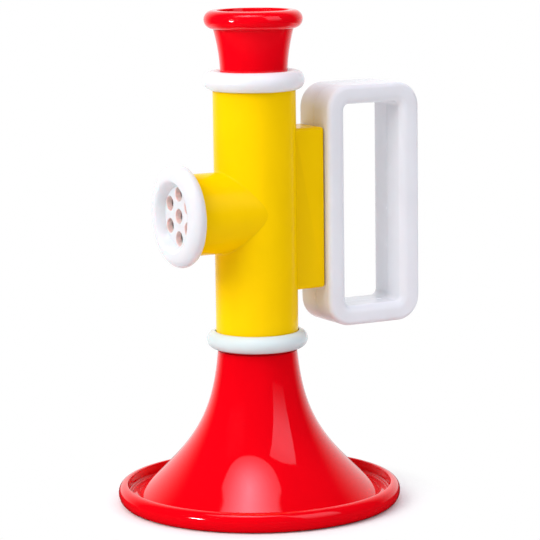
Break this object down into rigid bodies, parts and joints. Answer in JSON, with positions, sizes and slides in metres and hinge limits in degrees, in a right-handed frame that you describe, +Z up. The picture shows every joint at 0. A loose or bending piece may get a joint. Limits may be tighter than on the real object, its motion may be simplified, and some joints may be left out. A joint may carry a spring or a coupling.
{
  "type": "toy horn",
  "caption": "Upright toy horn: flared bell, straight tube with a cup mouthpiece, perforated cap on a side branch over a voice film, and a rectangular grip loop.",
  "frame": {"origin": "on the main tube's axis, in the plane of the table that the bell's rim stands on", "axes": "+Z up the tube towards the mouthpiece, +X towards the grip loop, -X towards the perforated cap"},
  "size_m": [0.1149, 0.1034, 0.1796],
  "materials": {
    "yellow_plastic": "glossy moulded plastic",
    "red_plastic": "glossy moulded plastic",
    "white_plastic": "glossy moulded plastic",
    "mint_plastic": "glossy, faintly translucent moulded plastic",
    "grey_plastic": "matt moulded plastic",
    "clear_film": "thin waxy film",
    "screw_steel": "plated steel"
  },
  "bodies": {
    "horn_body": {"body_tube": "yellow_plastic", "upper_collar": "white_plastic", "voice_membrane": "clear_film", "membrane_ring": "grey_plastic", "handle_front_shell": "white_plastic", "handle_rear_shell": "white_plastic", "handle_screw_upper_outer": "screw_steel", "handle_screw_upper_inner": "screw_steel", "handle_screw_lower_inner": "screw_steel", "handle_screw_lower_outer": "screw_steel"},
    "mouthpiece": {"mouthpiece": "red_plastic"},
    "cap": {"perforated_cap": "white_plastic"},
    "bell": {"bell": "red_plastic"},
    "lower_collar": {"lower_collar": "mint_plastic"}
  },
  "joints": [
    {"name": "mouthpiece_pull", "type": "slide", "parent": "horn_body", "child": "mouthpiece", "axis": [0, 0, 1], "range_m": [0, 0.025]},
    {"name": "cap_pull", "type": "slide", "parent": "horn_body", "child": "cap", "axis": [-1, 0, 0], "range_m": [0, 0.015]},
    {"name": "bell_pull", "type": "slide", "parent": "horn_body", "child": "bell", "axis": [0, 0, -1], "range_m": [0, 0.022]},
    {"name": "lower_collar_spin", "type": "hinge", "parent": "bell", "child": "lower_collar", "pos_m": [0, 0, 0.0603], "axis": [0, 0, 1], "continuous": true}
  ]
}
